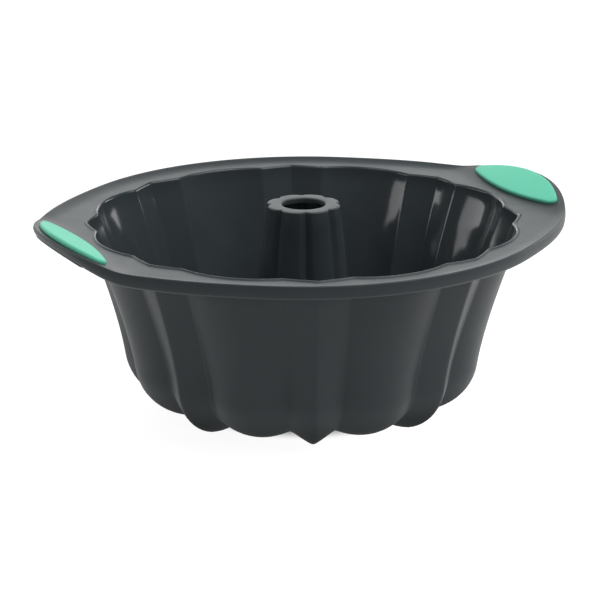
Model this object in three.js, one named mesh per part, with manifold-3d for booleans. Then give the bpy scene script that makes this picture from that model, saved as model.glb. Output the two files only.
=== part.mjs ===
// Silicone fluted tube pan: one grey silicone moulding, a steel wire ring moulded into its rim,
// and two green silicone grips seated on its handles.
// Millimetres, +Z up, the table at z = 0, +X along the handles.
import * as THREE from "three";
import { mergeVertices } from "three/addons/utils/BufferGeometryUtils.js";
import Module from "manifold-3d";

const wasm = await Module();
wasm.setup();

const { degToRad: radians, radToDeg: degrees, euclideanModulo: modulo } = THREE.MathUtils;
const { lerp: mix, smoothstep } = THREE.MathUtils;

// Heights above the table
const LIP_Z = 104.4; // top of the bead round the cavity
const FLANGE_Z = 103.7; // flat top of the flange
const TUBE_Z = 112.4; // crown of the centre tube

// Flutes: sharp ridges with round lobes between them, a lobe facing each handle
const FLUTES = 8;
const PITCH = 360 / FLUTES;
const RIDGE_HALF = 9; // degrees from a ridge's crest to the valley beside it
const LOBE_HALF = PITCH / 2 - RIDGE_HALF;
const LOBE_STEPS = 6; // facets across each lobe

// How far ridges and lobes stand out from the valleys, square to the wall
const RIDGE_DEPTH = { lip: 4.7, corner: 7.2, base: 7.2, tube: 1.8 };
const LOBE_DEPTH = { lip: 4.5, corner: 6.7, base: 4.2, tube: -0.4 };

// Cavity profile along a valley, as radius and height
const WALL = 2.2; // silicone thickness
const LIP_BEAD = { round: 1.5, drop: 1.8, foot: 2.6 }; // width and height of its round, and its outer foot
const WALL_TOP = new THREE.Vector2(113.7, LIP_Z - LIP_BEAD.drop);
const WALL_DRAFT = 7.9; // degrees at the foot of the wall, which flares above
const WALL_BEND = 18; // height over the foot where the tangents at the wall's ends cross
const BASE_BOTTOM = new THREE.Vector2(65.7, 8.2); // ridges below it are cut flat at the table
const CORNER_RADIUS = 24.7; // base to wall
const ROOT_RADIUS = 37.7; // base to tube
const TUBE_DRAFT = 6.7;
const HOLE_RADIUS = 12; // through the tube's crown
const CROWN = { thickness: 3, round: 0.8 };

// Rim: a flange round the cavity, a curb on its edge and a wing tilted up for each handle
const RIM_RADIUS = 134.5;
const HANDLE_REACH = 150.7;
const HANDLE_SPREAD = 56; // degrees each side of the handle axis over which the rim swells
const SWELL_START = 0.3; // share of the swell where the bead starts to widen
const WING_TILT = 21;
const WING_FOLD_X = 126.6; // the wings bend up beyond this line
const WING_ROLL = 0.5; // how far a wing's edge turns down
const WING_TIP = 3.4; // thickness left at a wing's edge
const UNDER_TILT = 34; // slope of the cut-back underside of the wings
const FOLD_SOFTNESS = 3;
const EDGE_SOFTNESS = 0.8;
const CURB_HEIGHT = 2.2;
const CURB_WIDTH = { rim: 9.5, handle: 4.5 };
const CURB_KNEE = { across: 0.5, up: 0.27 }; // shares of the curb's width and height where it steepens
const SKIRT_HEIGHT = 7.7; // outer side of the rim
const BEAD_WIDTH = { rim: 8, handle: 14 }; // the thick edge that holds the wire
const FLANGE_THICKNESS = 3;
const FLANGE_FILLET = 1.5; // where its underside meets the wall
const EDGE_ROUND = 0.9;

// Steel ring in the bead, and the holes below it where mould pins held it
const GAP = 0.3; // between pieces that touch
const WIRE_RADIUS = 1.1;
const WIRE_INSET = { rim: 3.2, handle: 9 }; // from the rim's outer side to the wire's axis
const WIRE_STEPS = 64;
const WIRE_SIDES = 6;
const PIN_HOLE_RADIUS = 0.8;
const PIN_HOLE_SIDES = 10;

// Grips: lens-shaped pads seated on the wings
const GRIP = { chordX: 133.9, halfChord: 47.3, outerBulge: 14.8, innerBulge: 6.9, endRadius: 3.2 };
const GRIP_HEIGHT = 2.8; // above the wing
const GRIP_SEAT = 0.4; // depth of the seat in the wing
const GRIP_ROUND = 1.2;
const GRIP_ARCH = 1.1; // how far its ends bend down
const GRIP_STEPS = 8; // facets along each arc of the outline
const HANDLE_TURNS = { right: 0, left: Math.PI }; // each handle's place round the pan

// Low pad under each wing, for the fingers
const FINGER_PAD = {
  outerRadius: 91.5,
  innerRadius: 86,
  centreX: 58,
  halfAngle: 20.5,
  height: 0.5,
  sunk: 1,
};

// Shares of a profile curve where the shell has its rings
const FORWARD = [0, 0.25, 0.5, 0.75];
const BACKWARD = [1, 0.75, 0.5, 0.25];
const FLANGE_JOIN = 0.97; // up the wall, where its outer side meets the flange
const CROWN_JOIN = 0.05; // down the tube, where its inside meets the crown
const LIP_TURNS = [45, 67.5, 90]; // degrees round the lip's bead

const WELD = 1e-3; // vertices closer than this are one
const AZIMUTHS = loftAzimuths();

// Flutes

/** Azimuths of the loft: both faces of each ridge, then the lobe after it. */
function loftAzimuths() {
  const azimuths = [];
  for (let flute = 0; flute < FLUTES; flute++) {
    const crest = (flute + 0.5) * PITCH;
    azimuths.push(crest - RIDGE_HALF, crest);
    for (let step = 0; step < LOBE_STEPS; step++)
      azimuths.push(crest + RIDGE_HALF + (2 * LOBE_HALF * step) / LOBE_STEPS);
  }
  return azimuths;
}

/** How far the flutes stand out at an azimuth, for given ridge and lobe depths. */
function fluteRise(azimuth, ridgeDepth, lobeDepth) {
  const fromCrest = Math.abs(modulo(azimuth, PITCH) - PITCH / 2);
  if (fromCrest <= RIDGE_HALF) return ridgeDepth * (1 - fromCrest / RIDGE_HALF);
  const across = (PITCH / 2 - fromCrest) / LOBE_HALF;
  return lobeDepth * (1 - across * across);
}

// Shell of the bowl and the tube

/** An arc that rises from the bottom of the base, between two angles. */
function baseArc(radius, from, to) {
  const { x, y } = BASE_BOTTOM;
  return new THREE.EllipseCurve(x, y + radius, radius, radius, radians(from), radians(to));
}

/** The cavity's profile along a valley: down the tube, across the round base and up the wall. */
function shellCurves() {
  const root = baseArc(ROOT_RADIUS, TUBE_DRAFT - 180, -90);
  const corner = baseArc(CORNER_RADIUS, -90, -WALL_DRAFT);
  const tubeFoot = root.getPoint(0);
  const tubeRise = TUBE_Z - CROWN.round - tubeFoot.y;
  const tubeTop = new THREE.Vector2(-tubeRise * Math.tan(radians(TUBE_DRAFT)), tubeRise).add(tubeFoot);
  const wallFoot = corner.getPoint(1);
  const wallBend = new THREE.Vector2(WALL_BEND * Math.tan(radians(WALL_DRAFT)), WALL_BEND).add(wallFoot);
  return {
    tube: new THREE.LineCurve(tubeTop, tubeFoot),
    root,
    corner,
    wall: new THREE.QuadraticBezierCurve(wallFoot, wallBend, WALL_TOP),
  };
}

/** Rings along one curve of the profile, offset into the silicone by a thickness. */
function shellRings(curve, shares, from, to, thickness) {
  return shares.map((t) => {
    const point = curve.getPoint(t);
    const along = curve.getTangent(t);
    const blend = smoothstep(t, 0, 1);
    const ridge = mix(RIDGE_DEPTH[from], RIDGE_DEPTH[to], blend);
    const lobe = mix(LOBE_DEPTH[from], LOBE_DEPTH[to], blend);
    return AZIMUTHS.map((azimuth) => {
      const out = thickness + fluteRise(azimuth, ridge, lobe);
      return polar(azimuth, point.x + along.y * out, point.y - along.x * out);
    });
  });
}

/** The cavity side of the shell, from the tube's crown to the top of the wall. */
function cavityRings() {
  const { tube, root, corner, wall } = shellCurves();
  return [
    ...shellRings(tube, [0, 0.5], "tube", "tube", 0),
    ...shellRings(root, FORWARD, "tube", "base", 0),
    ...shellRings(corner, FORWARD, "base", "corner", 0),
    ...shellRings(wall, [...FORWARD, 1], "corner", "lip", 0),
  ];
}

/** The outer side of the shell, from under the flange to the inside of the tube's crown. */
function outerRings() {
  const { tube, root, corner, wall } = shellCurves();
  return [
    ...shellRings(wall, [FLANGE_JOIN, ...BACKWARD.slice(1)], "corner", "lip", WALL),
    ...shellRings(corner, BACKWARD, "base", "corner", WALL),
    ...shellRings(root, BACKWARD, "tube", "base", WALL),
    ...shellRings(tube, [1, 0.5, CROWN_JOIN], "tube", "tube", WALL),
  ];
}

/** The tube's crown: from its inside, over the hole's rounded edge to the top of the tube. */
function crownRings(tubeInside, tubeOutside) {
  const around = (radius, height) => AZIMUTHS.map((azimuth, j) => polar(azimuth, radius(j), height));
  const inside = (inset) => (j) => Math.hypot(tubeInside[j].x, tubeInside[j].y) - inset;
  const outside = (inset) => (j) => Math.hypot(tubeOutside[j].x, tubeOutside[j].y) - inset;
  const hole = (margin) => () => HOLE_RADIUS + margin;
  const midRound = CROWN.round * (1 - Math.SQRT1_2);
  return [
    around(inside(EDGE_ROUND), TUBE_Z - CROWN.thickness),
    around(hole(0), TUBE_Z - CROWN.thickness),
    around(hole(0), TUBE_Z - CROWN.round),
    around(hole(midRound), TUBE_Z - midRound),
    around(hole(CROWN.round), TUBE_Z),
    around(outside(CROWN.round), TUBE_Z),
    around(outside(midRound), TUBE_Z - midRound),
  ];
}

// Rim

/** Share of a handle in the rim at an azimuth: 1 on the handle axis, 0 away from it. */
function handleShare(azimuth) {
  const away = Math.abs(modulo(azimuth + 90, 180) - 90);
  return away < HANDLE_SPREAD ? (1 + Math.cos((Math.PI * away) / HANDLE_SPREAD)) / 2 : 0;
}

/** Radius of the rim's outer side. */
function rimRadius(azimuth) {
  return mix(RIM_RADIUS, HANDLE_REACH, handleShare(azimuth));
}

/** Distance along X of the rim's outer side. */
function rimX(azimuth) {
  return Math.abs(polar(azimuth, rimRadius(azimuth), 0).x);
}

/** The larger of two heights, with a rounded change between them. */
function softMax(a, b, softness) {
  return (a + b + Math.hypot(a - b, softness)) / 2;
}

/** How far the wings lift the flange at a distance along X. */
function wingLift(x) {
  return Math.tan(radians(WING_TILT)) * softMax(Math.abs(x) - WING_FOLD_X, 0, FOLD_SOFTNESS);
}

/** Height of the rim's edge: level round the pan, then up with the wings. */
function edgeHeight(x) {
  return FLANGE_Z + softMax(CURB_HEIGHT, wingLift(x) - WING_ROLL, EDGE_SOFTNESS);
}

/** Height of the bead's underside: level with the rim's lower edge, then up the cut-back wings. */
function beadFloor(azimuth, radius) {
  const cut = HANDLE_REACH - Math.abs(polar(azimuth, radius, 0).x);
  const wing = edgeHeight(HANDLE_REACH) - WING_TIP - cut * Math.tan(radians(UNDER_TILT));
  return softMax(edgeHeight(rimX(azimuth)) - SKIRT_HEIGHT, wing, EDGE_SOFTNESS);
}

/** A measure of the rim that changes into another towards the handles. */
function towardsHandle(measure, azimuth) {
  return mix(measure.rim, measure.handle, smoothstep(handleShare(azimuth), SWELL_START, 1));
}

/** A point on the rim, at a height above the flange's top surface there. */
function rimPoint(azimuth, radius, above) {
  const point = polar(azimuth, radius, FLANGE_Z + above);
  point.z += wingLift(point.x);
  return point;
}

/** A point on the underside of the rim's bead. */
function beadPoint(azimuth, radius) {
  return polar(azimuth, radius, beadFloor(azimuth, radius));
}

/** Section of the rim at one azimuth, from the lip round the cavity to the flange's underside. */
function rimSection(azimuth, wallTop, wallUnder) {
  const edge = Math.hypot(wallTop.x, wallTop.y);
  const foot = edge + LIP_BEAD.foot;
  const outer = rimRadius(azimuth);
  const top = edgeHeight(rimX(azimuth));
  const curbRise = top - rimPoint(azimuth, outer, 0).z;
  const curbWidth = towardsHandle(CURB_WIDTH, azimuth);
  const beadInner = outer - towardsHandle(BEAD_WIDTH, azimuth);
  const lip = LIP_TURNS.map((turn) => {
    const across = LIP_BEAD.round * (1 - Math.cos(radians(turn)));
    const below = LIP_BEAD.drop * (1 - Math.sin(radians(turn)));
    return rimPoint(azimuth, edge + across, LIP_Z - FLANGE_Z - below);
  });
  return [
    ...lip,
    rimPoint(azimuth, foot, 0),
    rimPoint(azimuth, mix(foot, outer - curbWidth, 0.5), 0),
    rimPoint(azimuth, outer - curbWidth, 0),
    rimPoint(azimuth, outer - curbWidth * (1 - CURB_KNEE.across), CURB_KNEE.up * curbRise),
    polar(azimuth, outer - EDGE_ROUND, top),
    polar(azimuth, outer, top - EDGE_ROUND),
    polar(azimuth, outer, beadFloor(azimuth, outer) + EDGE_ROUND),
    beadPoint(azimuth, outer - EDGE_ROUND),
    beadPoint(azimuth, mix(outer, beadInner, 0.5)),
    beadPoint(azimuth, beadInner + EDGE_ROUND),
    rimPoint(azimuth, beadInner, -FLANGE_THICKNESS),
    rimPoint(azimuth, Math.hypot(wallUnder.x, wallUnder.y) + FLANGE_FILLET, -FLANGE_THICKNESS),
  ];
}

/** Rings of the rim, in the order of its section. */
function rimRings(wallTop, wallUnder) {
  const sections = AZIMUTHS.map((azimuth, j) => rimSection(azimuth, wallTop[j], wallUnder[j]));
  return sections[0].map((_, k) => sections.map((section) => section[k]));
}

// Solids

/** A point at an azimuth in degrees, a radius and a height. */
function polar(azimuth, radius, height) {
  const turned = radians(azimuth);
  return new THREE.Vector3(radius * Math.cos(turned), radius * Math.sin(turned), height);
}

/** A closed skin over rings that themselves go round in a loop. */
function loft(rings) {
  const count = rings[0].length;
  const faces = [];
  for (let k = 0; k < rings.length; k++)
    for (let j = 0; j < count; j++) {
      const here = k * count;
      const next = ((k + 1) % rings.length) * count;
      const after = (j + 1) % count;
      faces.push(here + j, next + j, next + after, here + j, next + after, here + after);
    }
  const geometry = new THREE.BufferGeometry().setFromPoints(rings.flat());
  geometry.setIndex(faces);
  return geometry;
}

/** A manifold solid from a closed geometry. */
function solid(geometry) {
  const bare = new THREE.BufferGeometry().setAttribute("position", geometry.getAttribute("position"));
  bare.setIndex(geometry.getIndex());
  const joined = mergeVertices(bare, WELD);
  const mesh = new wasm.Mesh({
    numProp: 3,
    vertProperties: joined.getAttribute("position").array,
    triVerts: Uint32Array.from(joined.getIndex().array),
  });
  return new wasm.Manifold(mesh);
}

/** A three.js mesh with a name and a material from a solid. */
function piece(name, body, material) {
  const { vertProperties, triVerts } = body.getMesh();
  const geometry = new THREE.BufferGeometry();
  geometry.setAttribute("position", new THREE.BufferAttribute(vertProperties, 3));
  geometry.setIndex(new THREE.BufferAttribute(triVerts, 1));
  geometry.computeVertexNormals();
  const mesh = new THREE.Mesh(geometry, material);
  mesh.name = name;
  return mesh;
}

// Steel ring

/** Radius and height of the wire's axis at an azimuth. */
function beadAxis(azimuth) {
  const radius = rimRadius(azimuth) - towardsHandle(WIRE_INSET, azimuth);
  const top = rimPoint(azimuth, radius, -GRIP_SEAT).z;
  return new THREE.Vector2(radius, mix(beadFloor(azimuth, radius), top, 0.5));
}

/** A ring that follows the middle of the rim's bead. */
function beadRing(radius) {
  const azimuths = Array.from({ length: WIRE_STEPS }, (_, step) => (360 * step) / WIRE_STEPS);
  const turns = Array.from({ length: WIRE_SIDES }, (_, side) => (2 * Math.PI * (side + 0.5)) / WIRE_SIDES);
  const line = (turn) => azimuths.map((azimuth) => {
    const axis = beadAxis(azimuth);
    return polar(azimuth, axis.x - radius * Math.cos(turn), axis.y + radius * Math.sin(turn));
  });
  return solid(loft(turns.map(line)));
}

/** Holes from the underside of the bead to the wire, one below each ridge. */
function pinHoles() {
  const holes = Array.from({ length: FLUTES }, (_, flute) => {
    const azimuth = (flute + 0.5) * PITCH;
    const axis = beadAxis(azimuth);
    const pin = new THREE.CylinderGeometry(PIN_HOLE_RADIUS, PIN_HOLE_RADIUS, SKIRT_HEIGHT, PIN_HOLE_SIDES);
    const place = polar(azimuth, axis.x, axis.y - SKIRT_HEIGHT / 2);
    return solid(pin.rotateX(Math.PI / 2).translate(place.x, place.y, place.z));
  });
  return holes.reduce((all, hole) => all.add(hole));
}

// Handles

/** The plane of a wing: a group tilted up with the wing, inside one turned to its side of the pan. */
function handlePlane(turn) {
  const plane = new THREE.Group();
  const rise = Math.tan(radians(WING_TILT)) * (GRIP.chordX - WING_FOLD_X);
  plane.position.set(GRIP.chordX, 0, FLANGE_Z + rise);
  plane.rotation.y = -radians(WING_TILT);
  const handle = new THREE.Group();
  handle.rotation.z = turn;
  handle.add(plane);
  handle.updateMatrixWorld(true);
  return plane;
}

/** Lens outline of a grip in the plane of its wing, grown by a margin. */
function gripOutline(margin) {
  const { halfChord, outerBulge, innerBulge, endRadius } = GRIP;
  const arcRadius = (bulge) => (halfChord * halfChord + bulge * bulge) / (2 * bulge);
  const outerCentre = outerBulge - arcRadius(outerBulge);
  const innerCentre = arcRadius(innerBulge) - innerBulge;
  const outerReach = arcRadius(outerBulge) - endRadius;
  const innerReach = arcRadius(innerBulge) - endRadius;
  const span = innerCentre - outerCentre;
  const along = (outerReach ** 2 - innerReach ** 2 + span ** 2) / (2 * span);
  const end = new THREE.Vector2(outerCentre + along, Math.sqrt(outerReach ** 2 - along ** 2));
  const outerTurn = Math.atan2(end.y, end.x - outerCentre);
  const innerTurn = Math.atan2(end.y, end.x - innerCentre);
  const outline = new THREE.Shape();
  outline.absarc(outerCentre, 0, outerReach + endRadius + margin, -outerTurn, outerTurn, false);
  outline.absarc(end.x, end.y, endRadius + margin, outerTurn, innerTurn, false);
  outline.absarc(innerCentre, 0, innerReach + endRadius + margin, innerTurn, 2 * Math.PI - innerTurn, false);
  outline.absarc(end.x, -end.y, endRadius + margin, -innerTurn, -outerTurn, false);
  return outline;
}

/** Bends a shape in the plane of a wing down towards its ends. */
function arched(geometry) {
  const points = geometry.getAttribute("position");
  for (let i = 0; i < points.count; i++)
    points.setZ(i, points.getZ(i) - GRIP_ARCH * (points.getY(i) / GRIP.halfChord) ** 2);
  return geometry;
}

/** Grip pad with rounded edges, in the plane of its wing. */
function grip() {
  const bottom = GAP - GRIP_SEAT;
  const pad = new THREE.ExtrudeGeometry(gripOutline(0), {
    depth: GRIP_HEIGHT - bottom - 2 * GRIP_ROUND,
    bevelThickness: GRIP_ROUND,
    bevelSize: GRIP_ROUND,
    bevelOffset: -GRIP_ROUND,
    bevelSegments: 2,
    curveSegments: GRIP_STEPS,
  });
  return solid(arched(pad.translate(0, 0, bottom + GRIP_ROUND)));
}

/** Space that a grip takes out of its wing. */
function gripSeat(turn) {
  const seat = new THREE.ExtrudeGeometry(gripOutline(GAP), {
    depth: 2 * GRIP_HEIGHT,
    bevelEnabled: false,
    curveSegments: GRIP_STEPS,
  });
  return solid(arched(seat.translate(0, 0, -GRIP_SEAT)).applyMatrix4(handlePlane(turn).matrixWorld));
}

/** Low pad that lies on the cut-back underside of a wing, along its edge. */
function fingerPad(turn) {
  const { outerRadius, innerRadius, centreX, halfAngle, height, sunk } = FINGER_PAD;
  const outline = new THREE.Shape();
  outline.absarc(centreX, 0, outerRadius, -radians(halfAngle), radians(halfAngle), false);
  outline.absarc(centreX, 0, innerRadius, radians(halfAngle), -radians(halfAngle), true);
  const pad = new THREE.ExtrudeGeometry(outline, {
    depth: height + sunk,
    bevelEnabled: false,
    curveSegments: GRIP_STEPS,
  });
  const points = pad.getAttribute("position");
  for (let i = 0; i < points.count; i++) {
    const azimuth = degrees(Math.atan2(points.getY(i), points.getX(i)));
    const floor = beadFloor(azimuth, Math.hypot(points.getX(i), points.getY(i)));
    points.setZ(i, points.getZ(i) + floor - height);
  }
  return solid(pad.rotateZ(turn));
}

// Pieces

/** The grey moulding: fluted bowl, tube, flange and wings, less the wire's cavity and the grips' seats. */
function panBody() {
  const cavity = cavityRings();
  const outside = outerRings();
  const rim = rimRings(cavity.at(-1), outside[0]);
  const crown = crownRings(outside.at(-1), cavity[0]);
  const turns = Object.values(HANDLE_TURNS);
  const belowTable = new THREE.BoxGeometry(2 * HANDLE_REACH, 2 * HANDLE_REACH, LIP_Z);
  belowTable.translate(0, 0, -LIP_Z / 2);
  const shell = solid(loft([...cavity, ...rim, ...outside, ...crown])).subtract(solid(belowTable));
  const padded = turns.reduce((body, turn) => body.add(fingerPad(turn)), shell);
  const hollowed = padded.subtract(beadRing(WIRE_RADIUS + GAP)).subtract(pinHoles());
  return turns.reduce((body, turn) => body.subtract(gripSeat(turn)), hollowed);
}

/** A handle's grip, placed on its wing. */
function gripHandle(side) {
  const greenSilicone = new THREE.MeshStandardMaterial({ color: 0x4fc79a, roughness: 0.5, metalness: 0 });
  const plane = handlePlane(HANDLE_TURNS[side]);
  plane.add(piece(`grip_${side}`, grip(), greenSilicone));
  return plane.parent;
}

const greySilicone = new THREE.MeshStandardMaterial({ color: 0x2e3133, roughness: 0.42, metalness: 0 });
const steel = new THREE.MeshStandardMaterial({ color: 0xa8abad, roughness: 0.35, metalness: 1 });

const pan = new THREE.Group();
pan.name = "fluted_tube_pan";
pan.add(piece("pan_body", panBody(), greySilicone));
pan.add(piece("rim_wire", beadRing(WIRE_RADIUS), steel));
pan.add(gripHandle("right"), gripHandle("left"));

export default pan;
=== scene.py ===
"""Silicone fluted tube pan, dressed for its studio photograph.

The grey moulding is one turned section whose flutes, tube, flange and handle wings change with azimuth.
A green grip sits on each wing, a finger rest lies under it, and a steel ring runs inside the rim.
Lengths are in metres and angles in degrees, unless a name says otherwise.
"""

import logging
import math
from contextlib import contextmanager
from dataclasses import dataclass, field
from enum import Enum
from typing import Callable, ClassVar, Iterator, Sequence

import bpy
from mathutils import Matrix, Vector


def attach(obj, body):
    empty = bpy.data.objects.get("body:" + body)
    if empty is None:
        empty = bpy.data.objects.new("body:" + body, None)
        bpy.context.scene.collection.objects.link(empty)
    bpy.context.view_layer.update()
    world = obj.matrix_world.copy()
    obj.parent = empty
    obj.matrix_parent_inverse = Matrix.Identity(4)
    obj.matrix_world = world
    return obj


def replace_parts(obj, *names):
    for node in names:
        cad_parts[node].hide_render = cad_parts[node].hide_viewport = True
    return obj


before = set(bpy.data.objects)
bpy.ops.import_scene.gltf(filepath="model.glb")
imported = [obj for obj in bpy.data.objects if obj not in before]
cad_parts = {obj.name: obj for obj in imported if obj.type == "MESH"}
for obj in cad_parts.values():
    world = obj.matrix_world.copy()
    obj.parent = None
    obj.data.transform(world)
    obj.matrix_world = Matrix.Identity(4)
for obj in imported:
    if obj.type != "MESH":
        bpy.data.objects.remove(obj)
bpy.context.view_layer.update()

LOG = logging.getLogger("fluted_tube_pan")
MM = 0.001
BODY = "root"
GREY_SLOT = "grey_silicone"
GREEN_SLOT = "green_silicone"

Pair = tuple[float, float]
Colour = tuple[float, float, float, float]


class Side(Enum):
    """The two handles, each with its turn about the tube's axis."""

    RIGHT = 0.0
    LEFT = 180.0

    @property
    def label(self) -> str:
        """The side's name in small letters."""
        return self.name.lower()

    @property
    def turn(self) -> Matrix:
        """Rotation that carries the right handle to this one."""
        return Matrix.Rotation(math.radians(self.value), 4, "Z")


class Skin(Enum):
    """How the mould left a stretch of the moulding, as a share of polish."""

    POLISHED = 1.0
    SATIN = 0.0


# Small mathematics


def mix(low: float, high: float, share: float) -> float:
    """The value at a share of the way from one number to another."""
    return low + (high - low) * share


def smoothstep(value: float, low: float = 0.0, high: float = 1.0) -> float:
    """A share from 0 to 1 that starts and ends level between two limits."""
    share = min(1.0, max(0.0, (value - low) / (high - low)))
    return share * share * (3.0 - 2.0 * share)


def soft_max(a: float, b: float, softness: float) -> float:
    """The larger of two heights, with a rounded change between them."""
    return (a + b + math.hypot(a - b, softness)) / 2.0


def shares(count: int, last: bool = False) -> list[float]:
    """Even steps from 0 towards 1.

    Args:
        count: How many steps there are.
        last: Whether 1 itself is in the list.

    Returns:
        The steps, in order.
    """
    return [step / count for step in range(count + last)]


def polar(azimuth: float, radius: float, height: float) -> Vector:
    """A point at an azimuth in degrees, a radius and a height."""
    turned = math.radians(azimuth)
    return Vector((radius * math.cos(turned), radius * math.sin(turned), height))


# Bench work on meshes


def deselect_all() -> None:
    """Leaves every object unselected, so that an operator acts on the new piece alone."""
    bpy.ops.object.select_all(action="DESELECT")


@dataclass
class Workpiece:
    """A mesh on the bench, from its primitive to the finished piece."""

    MERGE: ClassVar[float] = 0.002 * MM

    obj: bpy.types.Object

    @classmethod
    def named(cls, name: str) -> "Workpiece":
        """Takes the primitive that was just added and names it.

        Args:
            name: Name of the piece.

        Returns:
            The new workpiece.
        """
        obj = bpy.context.object
        obj.name = name
        obj.data.name = name
        return cls(obj)

    @classmethod
    def circle(cls, name: str, points: Sequence[Vector], filled: bool) -> "Workpiece":
        """A closed outline made from a circle.

        Args:
            name: Name of the piece.
            points: Where the circle's vertices go, in order.
            filled: Whether the outline is a face or only a loop of edges.

        Returns:
            The new workpiece.
        """
        deselect_all()
        fill = "NGON" if filled else "NOTHING"
        bpy.ops.mesh.primitive_circle_add(vertices=len(points), radius=1.0, fill_type=fill)
        made = cls.named(name)
        made.place(points)
        return made

    @property
    def mesh(self) -> bpy.types.Mesh:
        """The piece's mesh."""
        return self.obj.data

    def place(self, points: Sequence[Vector]) -> None:
        """Puts each vertex at its point.

        Args:
            points: The points, in the order of the vertices.
        """
        for vertex, point in zip(self.mesh.vertices, points, strict=True):
            vertex.co = point
        self.mesh.update()

    def reshape(self, move: Callable[[Vector], Vector]) -> None:
        """Moves every vertex by a rule."""
        self.place([move(vertex.co) for vertex in self.mesh.vertices])

    def activate(self) -> None:
        """Makes this the only selected object and the active one."""
        deselect_all()
        self.obj.select_set(True)
        bpy.context.view_layer.objects.active = self.obj

    @contextmanager
    def editing(self, kind: str = "VERT") -> Iterator[None]:
        """Edit mode on this piece alone, with all of it selected at first.

        Args:
            kind: What is selected: VERT, EDGE or FACE.
        """
        self.activate()
        bpy.ops.object.mode_set(mode="EDIT")
        bpy.ops.mesh.select_mode(type=kind)
        bpy.ops.mesh.select_all(action="SELECT")
        yield
        bpy.ops.object.mode_set(mode="OBJECT")

    @contextmanager
    def picking(self) -> Iterator[None]:
        """Time out of edit mode for a new selection, with nothing selected at first."""
        bpy.ops.object.mode_set(mode="OBJECT")
        for group in (self.mesh.vertices, self.mesh.edges, self.mesh.polygons):
            for element in group:
                element.select = False
        yield
        bpy.ops.object.mode_set(mode="EDIT")

    def pick_edges(self, wanted: Callable[[Vector, Vector], bool]) -> None:
        """Selects the edges whose two ends pass a test, for the next edit.

        Args:
            wanted: The test on both ends.
        """
        with self.picking():
            points = [vertex.co for vertex in self.mesh.vertices]
            for edge in self.mesh.edges:
                edge.select = wanted(*(points[index] for index in edge.vertices))

    def pick_faces(self, wanted: Callable[[bpy.types.MeshPolygon], bool]) -> None:
        """Selects the faces that pass a test, for the next edit.

        Args:
            wanted: The test on a face.
        """
        with self.picking():
            for polygon in self.mesh.polygons:
                polygon.select = wanted(polygon)

    def apply(self, kind: str, **settings: object) -> None:
        """Adds a modifier with some settings and applies it.

        Args:
            kind: The modifier's type.
            **settings: Its properties by name.
        """
        self.activate()
        modifier = self.obj.modifiers.new(kind.title(), kind)
        for name, value in settings.items():
            setattr(modifier, name, value)
        bpy.ops.object.modifier_apply(modifier=modifier.name)

    def tidy(self, smooth_angle: float = 60.0) -> None:
        """Merges doubles, turns the faces outwards and shades the piece smooth.

        Args:
            smooth_angle: Edges that bend more than this stay sharp.
        """
        with self.editing():
            bpy.ops.mesh.remove_doubles(threshold=self.MERGE)
            bpy.ops.mesh.normals_make_consistent(inside=False)
        bpy.ops.object.shade_smooth_by_angle(angle=math.radians(smooth_angle))

    def finish(self, material: bpy.types.Material, slot: str) -> bpy.types.Object:
        """Gives the piece its material and the body it rides on.

        Args:
            material: The finish that shows.
            slot: The record's material slot; not used.

        Returns:
            The finished object.
        """
        self.mesh.materials.clear()
        self.mesh.materials.append(material)
        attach(self.obj, BODY)
        LOG.info("%s: %d faces", self.obj.name, len(self.mesh.polygons))
        return self.obj


# Shader nodes


@dataclass(frozen=True)
class Pattern:
    """Cloudy noise: clouds to the metre, finer layers, the share of these, and a seed of its own."""

    scale: float
    detail: float
    roughness: float = 0.5
    seed: float | None = None


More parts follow.
